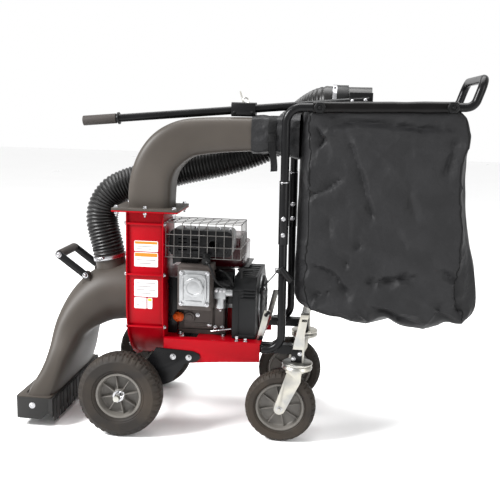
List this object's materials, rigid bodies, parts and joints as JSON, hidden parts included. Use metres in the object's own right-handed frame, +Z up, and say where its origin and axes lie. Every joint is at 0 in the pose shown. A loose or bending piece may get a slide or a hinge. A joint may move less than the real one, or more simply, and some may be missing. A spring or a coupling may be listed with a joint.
{
  "type": "leaf vacuum mulcher",
  "caption": "Walk-behind leaf vacuum mulcher with a wide ground nozzle, engine-driven fan, discharge chute, hand suction hose on a boom, caster chassis and a large hanging collection bag.",
  "frame": {"origin": "centre of the footprint box on the floor, under the tyres", "axes": "+Z up, +X towards the collection bag and push handle, -X towards the ground nozzle, -Y towards the side with the valve cover"},
  "size_m": [1.3917, 0.578, 1.1062],
  "materials": {
    "red_paint": "gloss powder coat",
    "black_paint": "satin powder coat",
    "zinc": "bright zinc plate",
    "duct_plastic": "textured moulded plastic",
    "hose_plastic": "satin",
    "black_plastic": "satin",
    "shroud_plastic": "satin",
    "grip_rubber": "matt",
    "skirt_rubber": "matt",
    "tyre": "matt",
    "rim_plastic": "satin",
    "engine_metal": "cast, painted grey-brown",
    "cast_aluminium": "cast",
    "tank_paint": "gloss",
    "bag_fabric": "coated woven",
    "orange_plastic": "satin"
  },
  "bodies": {
    "root": {"chassis_deck": "red_paint", "fan_front_plate": "red_paint", "fan_rear_plate": "red_paint", "fan_wrapper": "red_paint", "axle_bracket_left": "black_paint", "rear_rail_left": "black_paint", "mast_lower_left": "black_paint", "upper_frame_left": "black_paint", "caster_mount_left": "zinc", "axle_bracket_right": "black_paint", "rear_rail_right": "black_paint", "mast_lower_right": "black_paint", "upper_frame_right": "black_paint", "caster_mount_right": "zinc", "front_axle": "zinc", "muffler_cage": "zinc", "handle_bar": "black_paint", "bar_cradle": "black_paint", "muffler_guard": "black_paint", "engine_block": "engine_metal", "discharge_chute": "duct_plastic", "nozzle_duct": "duct_plastic", "nozzle_skirt": "skirt_rubber", "suction_hose": "hose_plastic", "plug_lead": "black_plastic", "recoil_rope": "black_plastic", "collection_bag": "bag_fabric", "bag_sleeve": "bag_fabric", "valve_cover": "cast_aluminium", "recoil_starter": "cast_aluminium", "carburettor": "cast_aluminium", "fuel_tank": "tank_paint", "blower_shroud": "shroud_plastic"},
    "front_wheel_left": {"front_rim_left": "rim_plastic", "front_tyre_left": "tyre"},
    "caster_left": {"caster_fork_left": "zinc"},
    "caster_wheel_left": {"caster_rim_left": "rim_plastic", "caster_tyre_left": "tyre"},
    "knob_left": {"handle_knob_left": "black_plastic"},
    "front_wheel_right": {"front_rim_right": "rim_plastic", "front_tyre_right": "tyre"},
    "caster_right": {"caster_fork_right": "zinc"},
    "caster_wheel_right": {"caster_rim_right": "rim_plastic", "caster_tyre_right": "tyre"},
    "knob_right": {"handle_knob_right": "black_plastic"},
    "rotor": {"impeller": "zinc"},
    "lift_handle": {"lift_handle_frame": "black_paint", "lift_grip": "grip_rubber"},
    "wand": {"wand_bar": "black_paint", "wand_grip": "grip_rubber", "wand_tube": "hose_plastic", "hose_cuff": "black_plastic"},
    "clip": {"cradle_clip": "zinc"},
    "throttle": {"throttle_lever": "black_plastic"},
    "tank_cap": {"fuel_cap": "black_plastic"},
    "oil_filler_cap": {"oil_cap": "orange_plastic"},
    "starter_grip": {"recoil_grip": "black_plastic"}
  },
  "joints": [
    {"name": "front_wheel_left_spin", "type": "hinge", "parent": "root", "child": "front_wheel_left", "pos_m": [-0.358, 0.233, 0.13], "axis": [0, 1, 0], "continuous": true},
    {"name": "caster_left_swivel", "type": "hinge", "parent": "root", "child": "caster_left", "pos_m": [0.175, 0.186, 0.24], "axis": [0, 0, 1], "continuous": true},
    {"name": "caster_left_wheel_spin", "type": "hinge", "parent": "caster_left", "child": "caster_wheel_left", "pos_m": [0.128, 0.186, 0.108], "axis": [0, 1, 0], "continuous": true},
    {"name": "handle_knob_left_turn", "type": "hinge", "parent": "root", "child": "knob_left", "pos_m": [0.583, 0.2, 1.01317], "axis": [0, 1, 0], "range_deg": [-180, 180]},
    {"name": "front_wheel_right_spin", "type": "hinge", "parent": "root", "child": "front_wheel_right", "pos_m": [-0.358, -0.233, 0.13], "axis": [0, 1, 0], "continuous": true},
    {"name": "caster_right_swivel", "type": "hinge", "parent": "root", "child": "caster_right", "pos_m": [0.175, -0.186, 0.24], "axis": [0, 0, 1], "continuous": true},
    {"name": "caster_right_wheel_spin", "type": "hinge", "parent": "caster_right", "child": "caster_wheel_right", "pos_m": [0.128, -0.186, 0.108], "axis": [0, 1, 0], "continuous": true},
    {"name": "handle_knob_right_turn", "type": "hinge", "parent": "root", "child": "knob_right", "pos_m": [0.583, -0.2, 1.01317], "axis": [0, 1, 0], "range_deg": [-180, 180]},
    {"name": "fan_rotor_spin", "type": "hinge", "parent": "root", "child": "rotor", "pos_m": [-0.262, 0, 0.39], "axis": [1, 0, 0], "continuous": true},
    {"name": "lift_handle_tilt", "type": "hinge", "parent": "root", "child": "lift_handle", "pos_m": [-0.518, 0, 0.458], "axis": [0, 1, 0], "range_deg": [-30, 30]},
    {"name": "wand_lift", "type": "slide", "parent": "root", "child": "wand", "axis": [0, 0, 1], "range_m": [0, 0.08]},
    {"name": "cradle_clip_pull", "type": "slide", "parent": "wand", "child": "clip", "axis": [0, 0, 1], "range_m": [0, 0.05]},
    {"name": "throttle_turn", "type": "hinge", "parent": "root", "child": "throttle", "pos_m": [-0.006, -0.145, 0.516], "axis": [0, 0, 1], "range_deg": [-20, 30]},
    {"name": "fuel_cap_turn", "type": "hinge", "parent": "root", "child": "tank_cap", "pos_m": [-0.098, 0.06, 0.6], "axis": [0, 0, 1], "range_deg": [0, 90]},
    {"name": "oil_cap_turn", "type": "hinge", "parent": "root", "child": "oil_filler_cap", "pos_m": [-0.2012, -0.1328, 0.3536], "axis": [-0.5133, -0.8375, 0.1871], "range_deg": [0, 180]},
    {"name": "recoil_pull", "type": "slide", "parent": "root", "child": "starter_grip", "axis": [0.3489, -0.9372, 0], "range_m": [0, 0.35], "stiffness_N_per_m": 30}
  ]
}
